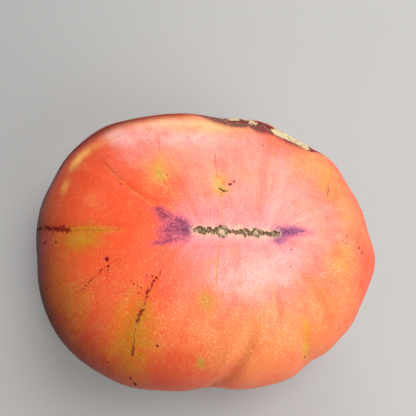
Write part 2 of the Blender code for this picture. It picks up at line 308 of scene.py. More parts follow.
# Grain of the skin, coarse to fine: {name: (scale, detail, roughness)}
GRAINS = {
    "cloud": (45.0, 3.0, 0.5),
    "blotches": (110.0, 4.0, 0.7),
    "mottle": (260.0, 3.0, 0.6),
    "wobble": (900.0, 3.0, 0.55),
    "breaks": (1100.0, 3.0, 0.7),
    "crumble": (1300.0, 3.0, 0.7),
    "grain": (1500.0, 2.0, 0.6),
    "specks": (1900.0, 1.0, 0.5),
}
# The space of the fibres: its radius, and its length for each radian of drop
FIBRE_RADIUS = 3.0
FIBRE_LENGTH = 0.5
# Grain drawn out from scar to stem: {name: (scale, detail, roughness, distortion)}
FIBRES = {
    "rays": (1.4, 2.0, 0.5, 0.0),
    "fibres": (14.0, 4.0, 0.6, 0.0),
    "feather": (30.0, 4.0, 0.7, 0.4),
}
DOT_SCALE = 1150.0
DOT_SIZE = 0.24
DOT_EDGE = 0.14
FRECKLE_SCALE = 800.0
# How far the rings round the scars fray, in mm, and the cracks wobble, in their widths
SCAR_FRAYING = -6.0
STEM_FRAYING = 30.0
CRACK_WOBBLE = 4.0
# Roughness and gloss of the wax, with how much light passes into the flesh and how far
WAX_ROUGHNESS = 0.36
WAX_GLOSS = 0.45
FLESH_SHARE = 0.12
FLESH_RADIUS = (1.0, 0.25, 0.1)
FLESH_DEPTH = 0.004
# Heights of the skin's relief
PORE_HEIGHT = 0.00016
MOTTLE_HEIGHT = 0.0003
CLOUD_HEIGHT = 0.0012
MARK_HEIGHT = -0.0002

# How the patches are laid: {name: (cloudiness and graininess of their edges, start, full, strength)}
PATCH_PAINT = {
    # Salmon skin, partly painted sheen
    "blush": (0.45, 0.2, 0.0, 1.0, 1.0),
    "gold": (0.6, 0.3, 0.1, 1.05, 1.0),
    # Painted highlights and sheen
    "pale": (0.6, 0.5, 0.1, 1.1, 0.8),
    "scarlet": (0.7, 0.3, 0.1, 0.9, 0.7),
    "olive": (0.7, 0.45, 0.0, 1.3, 0.95),
    "green": (0.4, 0.5, 0.15, 1.0, 0.94),
    # Painted highlights on golden skin
    "glow": (0.3, 0.3, -0.1, 1.1, 0.8),
    # The rim is painted shade along the outline
    "rim": (0.3, 0.2, 0.1, 0.95, 0.68),
}
# Colour in the grain: (grain, start, full, strength, colour)
GRAIN_PAINT = [
    ("specks", 0.54, 0.70, 0.12, "speck"),
    ("specks", 0.46, 0.30, 0.22, "ripe"),
    ("fibres", 0.50, 0.72, 0.28, "ripe"),
    ("mottle", 0.52, 0.35, 0.20, "ripe"),
    ("grain", 0.50, 0.30, 0.22, "ripe"),
    ("blotches", 0.52, 0.70, 0.28, "gold"),
    ("blotches", 0.48, 0.32, 0.26, "ripe"),
]
# How grain breaks up the bloom: (grain, swing in its soft parts, swing in its dark streaks)
BLOOM_GRAIN = [("feather", 1.2, 3.2), ("crumble", 0.9, 1.9), ("mottle", 0.4, 0.5)]

# The order of a face's corners, in grids on top of the fruit, underneath it and down its side
FACING_UP = (0, 1, 2, 3)
FACING_DOWN = (3, 2, 1, 0)
FACING_OUT = (0, 3, 2, 1)

# Cork: (half length, half width, spacing of its mesh) in mm, and the scale of its crumbs
CHAIN_SIZE = (13.4, 2.6, 0.13)
STEM_CORK_SIZE = (10.8, 7.2, 0.2)
CHAIN_CRUMBS = 1600.0
# Where no ring lies: how high the cork is in mm, and how pale
CHAIN_BED = -0.35
CHAIN_BED_PALENESS = 0.85
STEM_CRUMBS = 900.0
SPLIT_CRUMBS = 700.0
FISSURE_SHADE = 0.35
# The height from which rays look for the skin
RAY_START = 0.1
# The mesh of the splits' cork: first and last place in degrees, and number of places
SPLIT_TURNS = (44.0, 88.0, 320)
SPLIT_DROPS = (-8.0, 8.5, 130)

# Lights: {name: (place, height that it points at, width, colour)}
LIGHTS = {
    "key": ((0.22, 0.08, 0.54), 0.03, 0.34, (1.0, 0.98, 0.96)),
    "sheen": ((0.11, -0.16, 0.57), 0.03, 0.20, (1.0, 0.97, 0.97)),
    "front": ((0.36, -0.42, 0.38), 0.04, 0.40, (1.0, 0.98, 0.95)),
    "back": ((0.10, 0.62, 0.30), 0.04, 0.45, (0.97, 0.98, 1.0)),
}
FLOOR_SIZE = 3.0

# The camera of the photograph: its place over the fruit's widest part, its tilt, and its lens in mm
CAMERA_PLACE = (0.0013, -0.0519, 0.1639)
CAMERA_TILT = math.radians(22.0)
LENS = 40.5
SENSOR = 36.0
CLIP_START = 0.01


def measure(name, description, default, unit="LENGTH"):
    return FloatProperty(name=name, description=description, default=default, min=0.0, unit=unit, precision=4)


def paint(name, description, default):
    return FloatVectorProperty(
        name=name, description=description, default=default, size=3, subtype="COLOR", min=0.0, max=1.0
    )


class TomatoShape(PropertyGroup):
    """Sizes of the fruit."""

    half_width: measure("Half width", "Centre to widest part along X", 0.060)
    half_depth: measure("Half depth", "Centre to widest part along Y", 0.0516)
    crown_height: measure("Crown height", "Widest part up to the blossom scar", 0.0343)
    base_height: measure("Base height", "Widest part down to the stem end", 0.0370)
    seat_depth: measure("Seat depth", "How far the shoulders are pressed flat", 0.0008)
    scar_half_length: measure("Scar half length", "Half the blossom scar's length", 0.012)
    scar_dip: measure("Scar dip", "Depth of the dip round the blossom scar", 0.0011)
    stem_hollow: measure("Stem hollow", "Depth of the hollow underneath", 0.0145)
    split_depth: measure("Split depth", "Depth of the healed splits", 0.0030)


class TomatoFinish(PropertyGroup):
    """Colours of the fruit."""

    ripe: paint("Ripe", "Ripe skin under all the rest", (0.8, 0.078, 0.018))
    # Salmon skin, partly painted sheen on the right of the crown and along the back
    blush: paint("Blush", "Salmon skin of the crown", (0.8, 0.26, 0.215))
    pink: paint("Pink", "Pinkest skin, beside the blossom scar", (0.8, 0.195, 0.255))
    # Laid in patches this is painted highlight and sheen; in the rays it is paler skin
    pale: paint("Pale", "Palest skin of the crown", (0.88, 0.47, 0.44))
    scarlet: paint("Scarlet", "Ripest patches of the crown", (0.8, 0.1, 0.038))
    gold: paint("Gold", "Less ripe, golden skin", (0.82, 0.275, 0.075))
    # Painted highlight on golden skin, brighter than any skin colour
    glow: paint("Glow", "Brightest golden skin", (1.0, 0.47, 0.1))
    # Painted shade low on the left and lower left
    dusk: paint("Dusk", "Deep red low on the left", (0.15, 0.01, 0.001))
    olive: paint("Olive", "Ochre that stayed along the ribs", (0.47, 0.215, 0.003))
    green: paint("Green", "Yellow and green that stayed on the crown", (0.47, 0.325, 0.032))
    thread: paint("Thread", "Yellow threads along the ribs", (0.66, 0.37, 0.004))
    halo: paint("Halo", "Pale skin round the blossom scar", (0.85, 0.4, 0.36))
    fringe: paint("Fringe", "Outer edge of the bloom", (0.52, 0.06, 0.15))
    violet: paint("Violet", "Soft bloom at the scar's ends", (0.28, 0.03, 0.105))
    lilac: paint("Lilac", "Soft bloom over blushed skin", (0.26, 0.06, 0.225))
    maroon: paint("Maroon", "Dark streaks in the bloom", (0.06, 0.005, 0.026))
    scar_edge: paint("Scar edge", "Dry skin along the blossom scar", (0.76, 0.5, 0.3))
    # Dark shoulders underneath: partly their own colour, partly painted shade
    shoulder: paint("Shoulder", "Dark shoulders underneath", (0.2, 0.028, 0.014))
    # Painted shade along the outline, at the belt's edge
    rim: paint("Rim", "Darkest belt of the shoulders", (0.085, 0.01, 0.012))
    stem_green: paint("Stem green", "Green rays round the stem", (0.2, 0.14, 0.018))
    stem_brown: paint("Stem brown", "Brown skin beside the stem", (0.09, 0.05, 0.018))
    # Partly darker healed skin, partly painted shade in the grooves of the splits
    margin: paint("Margin", "Dark margins of the splits", (0.075, 0.011, 0.02))
    crack: paint("Crack", "Tint of the cracks and spots", (0.3, 0.07, 0.26))
    speck: paint("Speck", "Fine specks in the skin", (0.93, 0.5, 0.34))
    cork: paint("Cork", "Hollows of the cork", (0.13, 0.07, 0.028))
    cork_pale: paint("Pale cork", "Pale parts of the cork", (0.66, 0.5, 0.33))
    split_bed: paint("Split bed", "Dark bed of the healed splits", (0.17, 0.06, 0.03))
    split_cork: paint("Split cork", "Pale cork in the healed splits", (0.6, 0.5, 0.28))


class TomatoStage(PropertyGroup):
    """The floor and the lights."""

    floor: paint("Floor", "Colour of the floor", (0.4, 0.395, 0.385))
    floor_grain: paint("Floor grain", "Colour of the floor's faint grain", (0.6, 0.6, 0.6))
    key_power: measure("Key light", "Soft light overhead", 2.2, "POWER")
    sheen_power: measure("Sheen", "Light that shows as gloss", 1.1, "POWER")
    front_power: measure("Front light", "Soft light in front", 2.1, "POWER")
    back_power: measure("Back light", "Low light behind", 2.6, "POWER")
    sky: paint("Sky", "Colour of the light from all sides", (0.93, 0.95, 1.0))
    sky_strength: measure("Sky strength", "How much of that light there is", 0.11, "NONE")


def smooth_step(share):
    """0 below 0 and 1 above 1, with an easy curve between."""
    share = np.clip(share, 0.0, 1.0)
    return share * share * (3.0 - 2.0 * share)


def bell(distance):
    """1 at no distance, falling to 0 on both sides."""
    return np.exp(-(distance**2))


def angle_between(turn, other):
    """The signed angle from other to turn, the short way round."""
    return (turn - other + math.pi) % (2.0 * math.pi) - math.pi


def turned(turn, degrees, half_width):
    """How far turn lies from a place given in degrees, in half widths."""
    return angle_between(turn, math.radians(degrees)) / math.radians(half_width)


def outline(shape, turn):
    """The widest part of the fruit, seen from above."""
    swell = np.ones_like(turn)
    for waves, (cosine, sine) in OUTLINE_WAVES.items():
        swell += cosine * np.cos(waves * turn) + sine * np.sin(waves * turn)
    return shape.half_width * swell * np.cos(turn), shape.half_depth * swell * np.sin(turn)


def along_scar(turn):
    """Where a rib meets a scar, from -1 to 1 along it."""
    c = np.cos(turn)
    return c * np.sqrt((1.0 + GATHERING**2) / (c * c + GATHERING**2))


def body(shape, turn, drop):
    """The smooth body of the fruit, with neither ribs nor marks."""
    crown = drop < QUARTER
    fullness = np.where(crown, CROWN_FULLNESS, BASE_FULLNESS)
    radius = (np.abs(np.sin(drop)) ** fullness + np.abs(np.cos(drop)) ** fullness) ** (-1.0 / fullness)
    reach = radius * np.sin(drop)
    rise = radius * np.cos(drop)
    lower = smooth_step((1.0 - np.cos(drop)) / 2.0)
    place = along_scar(turn)
    scar_x = SCAR_CENTRE[0] + shape.scar_half_length * place * math.cos(SCAR_SLOPE)
    scar_y = SCAR_CENTRE[1] + shape.scar_half_length * place * math.sin(SCAR_SLOPE)
    pole_x = scar_x + (STEM_CENTRE[0] + STEM_HALF_LENGTH * place - scar_x) * lower
    pole_y = scar_y + (STEM_CENTRE[1] - scar_y) * lower
    rim_x, rim_y = outline(shape, turn)
    hollow = shape.stem_hollow * bell(reach / STEM_HOLLOW_REACH)
    z = np.where(crown, shape.crown_height * rise, shape.base_height * rise + hollow)
    return np.stack([pole_x + (rim_x - pole_x) * reach, pole_y + (rim_y - pole_y) * reach, z], axis=-1)


def outward(shape, turn, drop, step=1e-4):
    """The direction that the smooth body faces."""
    drop = np.clip(drop, POLE_MARGIN, math.pi - POLE_MARGIN)
    round_fruit = body(shape, turn + step, drop) - body(shape, turn - step, drop)
    down_fruit = body(shape, turn, drop + step) - body(shape, turn, drop - step)
    normal = np.cross(down_fruit, round_fruit)
    return normal / np.linalg.norm(normal, axis=-1, keepdims=True)


def rib_relief(turn, drop):
    """Creases that deepen from the blossom scar to the shoulders, and lobes that swell between them."""
    share = drop / QUARTER
    crown = np.minimum(share, 1.0) ** 2
    low = smooth_step((share - 1.0) / (SHOULDER - 1.0))
    closing = 1.0 - smooth_step((share - SHOULDER) / (STEM_RIM - SHOULDER))
    crease = crown * closing * (1.0 + (SHOULDER_DEEPENING - 1.0) * low)
    lobe = crown * (1.0 - low)
    relief = np.zeros_like(drop)
    for degrees, depth, half_width in RIBS:
        relief -= depth * bell(turned(turn, degrees, half_width)) * (crease if depth > 0.0 else lobe)
    for degrees, depth, half_width in SHOULDER_RIBS:
        relief -= depth * bell(turned(turn, degrees, half_width)) * low * closing
    return relief


def line_distance(points, centre, half_length, slope):
    """How far points are from a line seen from above."""
    x = points[..., 0] - centre[0]
    y = points[..., 1] - centre[1]
    along = x * math.cos(slope) + y * math.sin(slope)
    aside = y * math.cos(slope) - x * math.sin(slope)
    return np.hypot(np.maximum(np.abs(along) - half_length, 0.0), aside)


def split_share(turn):
    """How open the healed splits are at each turn."""
    share = np.zeros_like(turn)
    for degrees, half_length, depth in SPLITS:
        share += depth * smooth_step(SPLIT_ENDS * (1.0 - turned(turn, degrees, half_length) ** 2))
    return share


def split_relief(shape, turn, drop):
    """The skin above rolls down into a groove, and the far side climbs to a raised lip."""
    aside = drop - SPLIT_DROP
    reach = np.where(aside < 0.0, SPLIT_REACH_ABOVE, SPLIT_REACH_BELOW)
    lip = SPLIT_LIP * bell((aside - SPLIT_LIP_BELOW) / SPLIT_LIP_REACH)
    return split_share(turn) * (lip - shape.split_depth * bell(aside / reach))


def beside_line(turn, drop, top_turn, top_drop, end_turn, end_drop):
    """The share of the way down a line, given in degrees, and the angle from it round the fruit."""
    share = (drop - math.radians(top_drop)) / math.radians(end_drop - top_drop)
    middle = math.radians(top_turn) + math.radians(end_turn - top_turn) * np.clip(share, 0.0, 1.0)
    return share, angle_between(turn, middle)


def fold_relief(turn, drop):
    """Shallow folds that come and go along their length, and the dent round the larger split."""
    relief = np.zeros_like(drop)
    for *line, half_width, depth in FOLDS:
        share, aside = beside_line(turn, drop, *line)
        swell = np.sin(math.pi * np.clip(share, 0.0, 1.0)) ** FOLD_ENDS
        relief -= depth * swell * bell(aside / math.radians(half_width))
    degrees, down, half_width, half_height, depth = DENT
    aside = (np.degrees(drop) - down) / half_height
    return relief - depth * bell(turned(turn, degrees, half_width)) * bell(aside)


def lens(turn, drop, spots, fade_above, fade_below):
    """1 inside lens-shaped spots at the splits' height and 0 outside, fading over so many degrees."""
    inside = np.zeros_like(turn)
    aside = np.degrees(drop - SPLIT_DROP)
    for degrees, half_length, above, below in spots:
        share = np.maximum(1.0 - turned(turn, degrees, half_length) ** 2, 0.0) ** LENS_ENDS
        room = np.minimum((aside + above * share) / fade_above, (below * share - aside) / fade_below)
        inside = np.maximum(inside, smooth_step(room) * (share > 0.0))
    return inside


def skin_points(shape, turn, drop):
    """Points of the skin before it is pressed flat where it rests."""
    smooth = body(shape, turn, drop)
    from_scar = line_distance(smooth, SCAR_CENTRE, shape.scar_half_length, SCAR_SLOPE)
    relief = rib_relief(turn, drop) + fold_relief(turn, drop) + split_relief(shape, turn, drop)
    relief -= shape.scar_dip * bell(from_scar / SCAR_DIP_REACH) * (drop < QUARTER)
    return smooth + outward(shape, turn, drop) * relief[..., None]


def ring_drops():
    """The drop of each ring of the mesh, closer together on the crown, at the scar and at the splits."""
    fine = np.linspace(0.0, math.pi, 4001)
    closeness = 1.0 + CROWN_CLOSENESS * np.exp(-((fine / CROWN_ZONE) ** 4))
    closeness += SCAR_CLOSENESS * np.exp(-fine / SCAR_ZONE)
    closeness += SPLIT_CLOSENESS * bell((fine - SPLIT_DROP) / SPLIT_ZONE)
    passed = np.concatenate([[0.0], np.cumsum((closeness[1:] + closeness[:-1]) / 2.0)])
    return np.interp(np.linspace(0.0, passed[-1], RINGS + 1), passed, fine)


class Fit:
    """Carries the formula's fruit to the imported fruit's box, where it rests on the floor."""

    def __init__(self, shape):
        turn, drop = np.meshgrid(np.linspace(-math.pi, math.pi, COLUMNS + 1), ring_drops())
        points = skin_points(shape, turn, drop).reshape(-1, 3)
        self.low = points.min(axis=0)
        self.low[2] += shape.seat_depth
        self.scale = (CAD_HIGH - CAD_LOW) / (points.max(axis=0) - self.low)

    def place(self, points):
        placed = CAD_LOW + (points - self.low) * self.scale
        placed[..., 2] = np.maximum(placed[..., 2], CAD_LOW[2])
        return placed

    def widest_height(self):
        """The height of the fruit's widest part above the floor."""
        return CAD_LOW[2] - self.low[2] * self.scale[2]


def smooth_mesh(name, points, faces):
    mesh = bpy.data.meshes.new(name)
    mesh.from_pydata(points.reshape(-1, 3).tolist(), [], faces)
    mesh.shade_smooth()
    mesh.update()
    return mesh


def grid_faces(rows, columns, order):
    """The faces of a grid of points, with the four corners of each in the order given."""
    steps = (0, 1, columns + 1, columns)
    corners = [steps[corner] for corner in order]
    firsts = [row * columns + column for row in range(rows - 1) for column in range(columns - 1)]
    return [[first + corner for corner in corners] for first in firsts]


def set_attribute(mesh, name, values):
    attribute = mesh.attributes.new(name, "FLOAT", "POINT")
    attribute.data.foreach_set("value", np.asarray(values, dtype=np.float32).ravel())


def patches(x, y, spots):
    """Soft patches that add up, at most to 1, at places in mm."""
    total = np.zeros_like(x)
    for centre_x, centre_y, radius_x, radius_y, strength in spots:
        away = ((x - centre_x) / radius_x) ** 2 + ((y - centre_y) / radius_y) ** 2
        total = total + strength * np.exp(-away * PATCH_FALL) * (1.0 - total)
    return total


def line_marks(turn, drop, radius, lines):
    """Signed place beside the nearest line, distance from it, both in its widths, and its darkness."""
    side = np.full_like(turn, CRACK_CLIP)
    near = np.full_like(turn, CRACK_CLIP)
    dark = np.zeros_like(turn)
    for *line, width, darkness in lines:
        share, aside = beside_line(turn, drop, *line)
        beside = aside * radius / width
        length = math.radians(line[3] - line[1]) * SKIN_PER_DROP
        past = np.maximum(np.maximum(-share, share - 1.0), 0.0) * length / width
        distance = np.hypot(beside, past)
        taper = smooth_step(np.minimum(share, 1.0 - share) * LINE_TAPER + LINE_START)
        closer = (distance < near) & (drop < CRACK_END)
        side = np.where(closer, beside, side)
        near = np.where(closer, distance, near)
        dark = np.where(closer, darkness * taper, dark)
    return np.clip(side, -CRACK_CLIP, CRACK_CLIP), near, dark


def shoulder_and_shade_marks(turn, drop):
    """The dark shoulders, partly their own colour and partly painted shade, which climb highest at the back;
    the belt of painted shade at their edge, its darkest rim, and the painted shade low on the left side.
    """
    places, starts, reaches = zip(*SHOULDER_SHADE_EDGE)
    start = np.radians(np.interp(np.degrees(turn), places, starts, period=360.0))
    reach = np.radians(np.interp(np.degrees(turn), places, reaches, period=360.0))
    near_edge = smooth_step((drop - start) / reach)
    far_down = smooth_step((drop - start) / SHOULDER_SHADE_FADE)
    belt = bell((drop - start - reach * SHADE_BELT_MIDDLE) / (reach * SHADE_BELT_WIDTH))
    dusk = smooth_step((drop - LEFT_SHADE_DROP) / LEFT_SHADE_REACH)
    dusk *= 1.0 - LEFT_SHADE_LOSS * smooth_step((drop - LEFT_SHADE_END) / LEFT_SHADE_FADE)
    return {
        "shoulder": SHOULDER_SHADE_EDGE_SHARE * near_edge + (1.0 - SHOULDER_SHADE_EDGE_SHARE) * far_down,
        "belt": belt,
        "rim": belt * np.sqrt(np.clip(np.cos(turn - RIM_SHADE_TURN), 0.0, 1.0)),
        "dusk": dusk * np.clip(np.cos(turn - LEFT_SHADE_TURN), 0.0, 1.0) ** LEFT_SHADE_NARROWING,
    }


def skin_marks(mesh, shape, turn, drop, points):
    """Stores where each colour of the skin lies, for the material to read."""
    x = points[..., 0] / MM
    y = points[..., 1] / MM
    on_crown = 1.0 - smooth_step((drop - CROWN_EDGE) / CROWN_FADE)

    # The way round the fruit in mm for each radian, from the space between a point's neighbours
    radius = np.linalg.norm(np.roll(points, -1, axis=1) - np.roll(points, 1, axis=1), axis=-1)
    radius *= COLUMNS / (4.0 * math.pi * MM)
    marks = shoulder_and_shade_marks(turn, drop)
    side, near, dark = line_marks(turn, drop, radius, THREADS)
    marks["thread"] = bell(side) * (near < THREAD_CLIP) * dark
    side, near, dark = line_marks(turn, drop, radius, CRACKS)
    marks.update(crack_side=side, crack_near=near, crack_dark=dark)

    spot = np.full_like(x, SPOT_CLIP)
    for spot_x, spot_y, spot_radius in SPOTS:
        spot = np.minimum(spot, np.hypot(x - spot_x, y - spot_y) / spot_radius)
    marks["spot"] = np.where(drop < SPOT_END, spot, SPOT_CLIP)

    for name, spots in PATCHES.items():
        marks[name] = patches(x, y, spots) * on_crown
    ribs = np.clip(-rib_relief(turn, drop) / FULL_RIB, 0.0, 1.0)
    marks["olive"] += OLIVE_BELOW * ribs * (1.0 - on_crown)
    marks["gold"] += GOLD_BELOW * (1.0 - on_crown)
    marks["margin"] = lens(turn, drop, SPLIT_MARGIN_SHADES, *MARGIN_SHADE_FADES)

    scar = line_distance(points, HALO_CENTRE, shape.scar_half_length, SCAR_SLOPE) / MM
    marks["scar_distance"] = np.where(drop < QUARTER, scar, FAR_FROM_SCAR)
    stem = np.hypot(x - STEM_CORK_CENTRE[0] / MM, y - STEM_CORK_CENTRE[1] / MM)
    marks["stem_distance"] = np.where(drop > QUARTER, stem, FAR_FROM_STEM)
    for name, values in marks.items():
        set_attribute(mesh, name, values)

    # A space for grain that is drawn out from scar to stem
    fibre = mesh.attributes.new("fibre", "FLOAT_VECTOR", "POINT")
    ring = [np.cos(turn) * FIBRE_RADIUS, np.sin(turn) * FIBRE_RADIUS, drop * FIBRE_LENGTH]
    place = np.stack(ring, axis=-1)
    fibre.data.foreach_set("vector", place.astype(np.float32).ravel())


class Recipe:
    """A material's nodes, written one step at a time."""

    def __init__(self, name):
        self.material = bpy.data.materials.new(name)
        self.material.use_nodes = True
        self.tree = self.material.node_tree
        self.shader = self.tree.nodes["Principled BSDF"]
        self.place = self.add("ShaderNodeTexCoord").outputs["Object"]

    def add(self, kind, settings=None, inputs=None):
        """A node of a kind, with its settings, and its sockets set or linked."""
        made = self.tree.nodes.new(kind)
        for name, value in (settings or {}).items():
            setattr(made, name, value)
        for name, value in (inputs or {}).items():
            self.feed(made.inputs[name], value)
        return made

    def feed(self, socket, value):
        if isinstance(value, bpy.types.NodeSocket):
            self.tree.links.new(value, socket)
        else:
            socket.default_value = value

    def shade(self, **sockets):
        """Sets or links the shader's sockets, whose spaces are written as underscores."""
        for name, value in sockets.items():
            self.feed(self.shader.inputs[name.replace("_", " ")], value)

    def attribute(self, name, output="Fac"):
        return self.add("ShaderNodeAttribute", {"attribute_name": name}).outputs[output]

    def math(self, operation, first, second=0.0):
        return self.add("ShaderNodeMath", {"operation": operation}, {0: first, 1: second}).outputs[0]

    def times(self, first, second):
        return self.math("MULTIPLY", first, second)

    def plus(self, first, second):
        return self.math("ADD", first, second)

    def most(self, first, *others):
        for other in others:
            first = self.math("MAXIMUM", first, other)
        return first

    def swing(self, grain, amount):
        """Grain brought down to swing about 0, as far as amount allows."""
        return self.times(self.math("SUBTRACT", grain, 0.5), amount)

    def noise(self, scale, detail=3.0, roughness=0.55, distortion=0.0, vector=None):
        inputs = {"Scale": scale, "Detail": detail, "Roughness": roughness, "Distortion": distortion}
        inputs["Vector"] = self.place if vector is None else vector
        return self.add("ShaderNodeTexNoise", None, inputs).outputs["Fac"]

    def cells(self, scale, channel):
        """Distance from the nearest of many scattered points, and a value of its own for each."""
        made = self.add("ShaderNodeTexVoronoi", None, {"Scale": scale, "Vector": self.place})
        split = self.add("ShaderNodeSeparateColor", None, {"Color": made.outputs["Color"]})
        return made.outputs["Distance"], split.outputs[channel]

    def ease(self, value, low, high):
        """0 where value is at low, 1 at high, and an easy curve between. Low may be the larger."""
        inputs = {"Value": value, "From Min": low, "From Max": high}
        made = self.add("ShaderNodeMapRange", {"interpolation_type": "SMOOTHSTEP", "clamp": True}, inputs)
        return made.outputs["Result"]

    def mix(self, share, under, over, blend="MIX"):
        made = self.add("ShaderNodeMix", {"data_type": "RGBA", "blend_type": blend})
        self.feed(made.inputs[0], share)
        for socket, colour in ((made.inputs[6], under), (made.inputs[7], over)):
            self.feed(socket, colour if isinstance(colour, bpy.types.NodeSocket) else (*colour, 1.0))
        return made.outputs[2]

    def bump(self, height, strength, distance, normal=None):
        inputs = {"Height": height, "Strength": strength, "Distance": distance}
        if normal is not None:
            inputs["Normal"] = normal
        return self.add("ShaderNodeBump", None, inputs).outputs["Normal"]


class SkinRecipe(Recipe):
    """Waxy skin, with ways to lay one colour after another over the ripe one."""

    def __init__(self, finish):
        super().__init__("tomato_skin")
        self.finish = finish
        self.colour = tuple(finish.ripe)
        drawn_out = self.attribute("fibre", "Vector")
        self.grain = {name: self.noise(*size) for name, size in GRAINS.items()}
        self.grain.update({name: self.noise(*size, vector=drawn_out) for name, size in FIBRES.items()})
        self.blush = self.attribute("blush")
        self.from_scar = self.attribute("scar_distance")
        self.ragged_from_scar = self.plus(self.from_scar, self.swing(self.grain["fibres"], SCAR_FRAYING))

    def lay(self, share, over, strength=1.0):
        """Lays a colour, named or from nodes, over the skin where share is 1, as far as strength goes."""
        if isinstance(over, str):
            over = tuple(getattr(self.finish, over))
        self.colour = self.mix(self.times(share, strength), self.colour, over)

    def loosened(self, name, cloudiness, graininess):
        """A stored patch, its edge broken up by clouds, fibres and mottle."""
        value = self.attribute(name)
        for grain, amount in (("cloud", cloudiness), ("fibres", cloudiness), ("mottle", graininess)):
            value = self.plus(value, self.swing(self.grain[grain], amount))
        return value

    def lay_patch(self, name):
        """Lays a stored patch in the colour of the same name, and gives the share that it covers."""
        cloudiness, graininess, start, full, strength = PATCH_PAINT[name]
        share = self.times(self.ease(self.loosened(name, cloudiness, graininess), start, full), strength)
        self.lay(share, name)
        return share


def lay_grain(r):
    """Fine pale specks and darker grains that show everywhere in a ripe skin."""
    distance, value = r.cells(DOT_SCALE, "Red")
    dots = r.ease(r.math("SUBTRACT", distance, r.times(value, DOT_SIZE)), DOT_EDGE, 0.0)
    pale_zone = r.most(r.times(r.blush, 0.5), r.attribute("gold"))
    r.lay(r.times(dots, r.plus(0.13, r.times(pale_zone, 0.60))), "speck")
    for grain, start, full, strength, over in GRAIN_PAINT:
        r.lay(r.ease(r.grain[grain], start, full), over, strength)
    flecks = r.times(r.ease(r.grain["blotches"], 0.60, 0.72), r.attribute("shoulder"))
    r.lay(flecks, "gold", 0.5)


def lay_rays(r):
    """Broad rays of riper and paler skin that run down from the scar."""
    rays = r.grain["rays"]
    r.lay(r.ease(rays, 0.50, 0.68), "ripe", 0.40)
    r.lay(r.times(r.ease(rays, 0.48, 0.32), r.blush), "pale", 0.16)
    streak = r.times(r.ease(r.grain["fibres"], 0.50, 0.34), r.ease(r.from_scar, 24.0, 3.0))
    r.lay(r.times(streak, r.plus(0.08, r.times(r.blush, 0.14))), "pale")


def lay_bloom(r):
    """Purple bloom, with dark streaks that run out from the scar's ends."""
    purple = r.attribute("purple")
    soft = purple
    hard = purple
    for grain, soft_swing, hard_swing in BLOOM_GRAIN:
        soft = r.plus(soft, r.swing(r.grain[grain], soft_swing))
        hard = r.plus(hard, r.swing(r.grain[grain], hard_swing))
    inside = r.ease(purple, 0.0, 0.36)
    r.lay(r.times(r.ease(soft, 0.0, 0.55), inside), "fringe", 0.36)
    tint = r.mix(r.ease(r.blush, 0.2, 0.8), tuple(r.finish.violet), tuple(r.finish.lilac))
    bloom = r.times(r.ease(soft, 0.25, 1.05), inside)
    r.lay(bloom, tint, 0.84)
    r.lay(r.times(r.ease(hard, 0.65, 1.30), inside), "maroon", 0.78)
    return bloom


def lay_shoulders_and_shade(r):
    """Dark shoulders, partly painted shade, with the rim of painted shade along their edge and green rays
    round the stem.
    """
    shoulder = r.plus(r.loosened("shoulder", 0.25, 0.2), r.swing(r.grain["rays"], 0.5))
    r.lay(r.ease(shoulder, 0.05, 1.0), "shoulder", 0.78)
    # The rim of painted shade along the outline, darkest at the back left
    r.lay_patch("rim")
    stem = r.plus(r.attribute("stem_distance"), r.swing(r.grain["fibres"], STEM_FRAYING))
    r.lay(r.ease(stem, 30.0, 8.0), "stem_green", 0.75)
    r.lay(r.ease(stem, 13.0, 6.0), "stem_brown", 0.8)


def lay_margin_and_shade(r):
    """The dark margins of the splits: partly darker healed skin and partly painted shade in the grooves."""
    inside = r.ease(r.attribute("margin"), 0.0, 0.1)
    margin = r.times(r.ease(r.loosened("margin", 0.9, 0.7), 0.0, 1.0), inside)
    r.lay(margin, "margin", 0.88)
    return margin


def lay_marks(r):
    """Cracks, spots and freckles, ragged and broken."""
    wobble = r.swing(r.grain["wobble"], CRACK_WOBBLE)
    darkness = r.attribute("crack_dark")
    crack = r.math("ABSOLUTE", r.plus(r.attribute("crack_side"), wobble))
    crack = r.times(r.ease(crack, 1.3, 0.4), r.ease(r.attribute("crack_near"), 2.6, 1.6))
    whole = r.times(r.ease(darkness, 0.85, 0.98), 0.9)
    crack = r.times(crack, r.most(r.ease(r.grain["breaks"], 0.40, 0.58), whole))
    spot = r.ease(r.plus(r.attribute("spot"), r.times(wobble, 0.3)), 1.25, 0.7)
    distance, value = r.cells(FRECKLE_SCALE, "Green")
    chance = r.ease(r.times(value, r.attribute("freckled")), 0.55, 0.70)
    freckle = r.times(r.ease(distance, 0.30, 0.14), chance)
    marks = r.most(r.times(crack, darkness), spot, r.times(freckle, 0.7))
    r.colour = r.mix(marks, r.colour, tuple(r.finish.crack), "MULTIPLY")
    return marks


def pores(r, marks):
    """Fine pores on soft waves, with the marks sunk a little."""
    fine = r.bump(r.plus(r.grain["specks"], r.grain["grain"]), 0.65, PORE_HEIGHT)
    waves = r.bump(r.grain["mottle"], 0.35, MOTTLE_HEIGHT, fine)
    swells = r.bump(r.grain["cloud"], 0.30, CLOUD_HEIGHT, waves)
    return r.bump(marks, 0.6, MARK_HEIGHT, swells)


